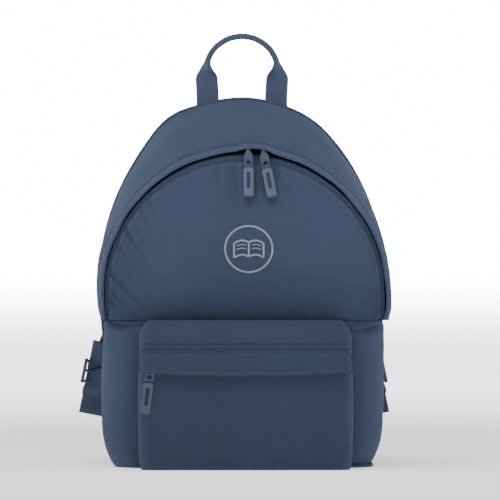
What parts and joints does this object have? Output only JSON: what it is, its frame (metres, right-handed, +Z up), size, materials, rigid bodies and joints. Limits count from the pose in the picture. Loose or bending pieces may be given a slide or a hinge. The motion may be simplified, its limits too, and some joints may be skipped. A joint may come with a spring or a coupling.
{
  "type": "backpack",
  "caption": "Small soft school backpack with an arched zipped front panel, a zipped front pocket under a cover flap, a twisted grab handle and two padded shoulder straps.",
  "frame": {"origin": "middle of the main compartment's base, on the surface the bag stands on", "axes": "+X to the right of a viewer facing the front pocket, -Y out of the front, +Z up"},
  "size_m": [0.3396, 0.2492, 0.46],
  "materials": {
    "shell_cloth": "navy woven polyester",
    "flap_cloth": "navy woven polyester, folded and topstitched",
    "back_cloth": "navy woven polyester over padding",
    "lining": "thin dark woven lining",
    "foam": "pale closed-cell foam",
    "base_board": "coated heavy cloth",
    "webbing": "ribbed polyester webbing",
    "zip_tape": "dark woven tape",
    "zip_coil": "dark nylon coil",
    "zip_metal": "navy enamelled die-cast metal",
    "grip_moulding": "soft navy moulding",
    "buckle": "navy acetal",
    "badge_thread": "grey embroidery thread"
  },
  "bodies": {
    "bag": {"back_panel": "back_cloth", "back_foam": "foam", "back_lining": "lining", "base_sheet": "base_board", "lower_wrap": "shell_cloth", "top_gusset": "shell_cloth", "main_zip_flap": "flap_cloth", "gusset_zip_tape": "zip_tape", "gusset_zip_teeth": "zip_coil", "main_zip_stops": "zip_metal", "back_seam_tape": "lining", "cross_seam_tape": "lining", "handle_feet": "webbing", "strap_yoke": "back_cloth", "strap_root_left": "back_cloth", "strap_root_right": "back_cloth", "wing_left": "shell_cloth", "wing_right": "shell_cloth", "pocket_side_left": "shell_cloth", "pocket_side_right": "shell_cloth", "pocket_base": "shell_cloth", "pocket_front": "shell_cloth", "pocket_top": "shell_cloth", "pocket_zip_tapes": "zip_tape", "pocket_zip_teeth": "zip_coil", "pocket_zip_stops": "zip_metal"},
    "front_panel": {"front_panel": "shell_cloth", "panel_zip_tape": "zip_tape", "panel_zip_teeth": "zip_coil", "badge": "badge_thread"},
    "slider_left": {"slider_left": "zip_metal"},
    "slider_right": {"slider_right": "zip_metal"},
    "tab_left": {"tab_left": "zip_metal"},
    "tab_right": {"tab_right": "zip_metal"},
    "grip_left": {"grip_left": "grip_moulding"},
    "grip_right": {"grip_right": "grip_moulding"},
    "pocket_slider": {"pocket_slider": "zip_metal"},
    "pocket_tab": {"pocket_tab": "zip_metal"},
    "pocket_grip": {"pocket_grip": "grip_moulding"},
    "pocket_flap": {"pocket_flap": "flap_cloth"},
    "handle": {"handle_loop": "webbing"},
    "strap_left": {"strap_sleeve_left": "back_cloth", "strap_foam_left": "foam", "lock_loop_left": "webbing", "ladder_lock_left": "buckle", "adjuster_left": "webbing"},
    "strap_right": {"strap_sleeve_right": "back_cloth", "strap_foam_right": "foam", "lock_loop_right": "webbing", "ladder_lock_right": "buckle", "adjuster_right": "webbing"},
    "tail_left": {"tail_left": "webbing"},
    "tail_right": {"tail_right": "webbing"}
  },
  "joints": [
    {"name": "front_panel_open", "type": "hinge", "parent": "bag", "child": "front_panel", "pos_m": [0, -0.075, 0.156], "axis": [1, 0, 0], "range_deg": [0, 65]},
    {"name": "main_slider_left", "type": "hinge", "parent": "front_panel", "child": "slider_left", "pos_m": [0, -0.05856, 0.18522], "axis": [0, -0.9781, 0.2079], "range_deg": [0, 80]},
    {"name": "main_slider_right", "type": "hinge", "parent": "front_panel", "child": "slider_right", "pos_m": [0, -0.05856, 0.18522], "axis": [0, 0.9781, -0.2079], "range_deg": [0, 80]},
    {"name": "left_tab_swing", "type": "hinge", "parent": "slider_left", "child": "tab_left", "pos_m": [0.00417, -0.02708, 0.33336], "axis": [0, 0.9781, -0.2079], "range_deg": [-5, 70]},
    {"name": "right_tab_swing", "type": "hinge", "parent": "slider_right", "child": "tab_right", "pos_m": [0.02005, -0.02734, 0.33211], "axis": [0, -0.9781, 0.2079], "range_deg": [-5, 60]},
    {"name": "left_grip_lift", "type": "hinge", "parent": "tab_left", "child": "grip_left", "pos_m": [0.00417, -0.04737, 0.31967], "axis": [-1, 0, 0], "range_deg": [0, 100]},
    {"name": "right_grip_lift", "type": "hinge", "parent": "tab_right", "child": "grip_right", "pos_m": [0.0231, -0.04758, 0.31869], "axis": [-0.9848, -0.0361, -0.1699], "range_deg": [0, 100]},
    {"name": "pocket_zip_slide", "type": "slide", "parent": "bag", "child": "pocket_slider", "axis": [1, 0, 0], "range_m": [0, 0.195]},
    {"name": "pocket_tab_swing", "type": "hinge", "parent": "pocket_slider", "child": "pocket_tab", "pos_m": [-0.0996, -0.123, 0.112], "axis": [0, -1, 0], "range_deg": [-28, 42]},
    {"name": "pocket_grip_lift", "type": "hinge", "parent": "pocket_tab", "child": "pocket_grip", "pos_m": [-0.10175, -0.123, 0.09453], "axis": [-0.9925, 0, 0.1219], "range_deg": [0, 100]},
    {"name": "pocket_flap_lift", "type": "hinge", "parent": "bag", "child": "pocket_flap", "pos_m": [0, -0.1212, 0.123], "axis": [-1, 0, 0], "range_deg": [0, 65]},
    {"name": "handle_flop", "type": "hinge", "parent": "bag", "child": "handle", "pos_m": [0, 0.0761, 0.397], "axis": [1, 0, 0], "range_deg": [-70, 70]},
    {"name": "left_strap_swing", "type": "hinge", "parent": "bag", "child": "strap_left", "pos_m": [-0.044, 0.0828, 0.358], "axis": [0.2906, 0, 0.9569], "range_deg": [-15, 16]},
    {"name": "left_tail_swing", "type": "hinge", "parent": "strap_left", "child": "tail_left", "pos_m": [-0.15406, 0.0973, 0.09471], "axis": [0.9798, 0, -0.2], "range_deg": [0, 60]},
    {"name": "right_strap_swing", "type": "hinge", "parent": "bag", "child": "strap_right", "pos_m": [0.044, 0.0828, 0.358], "axis": [0.2906, 0, -0.9569], "range_deg": [-15, 16]},
    {"name": "right_tail_swing", "type": "hinge", "parent": "strap_right", "child": "tail_right", "pos_m": [0.13806, 0.0973, 0.09471], "axis": [0.9798, 0, 0.2], "range_deg": [0, 60]}
  ],
  "couplings": [
    {"joint": "main_slider_left", "follows": "front_panel_open", "ratio": 1.23},
    {"joint": "main_slider_right", "follows": "front_panel_open", "ratio": 1.23}
  ]
}
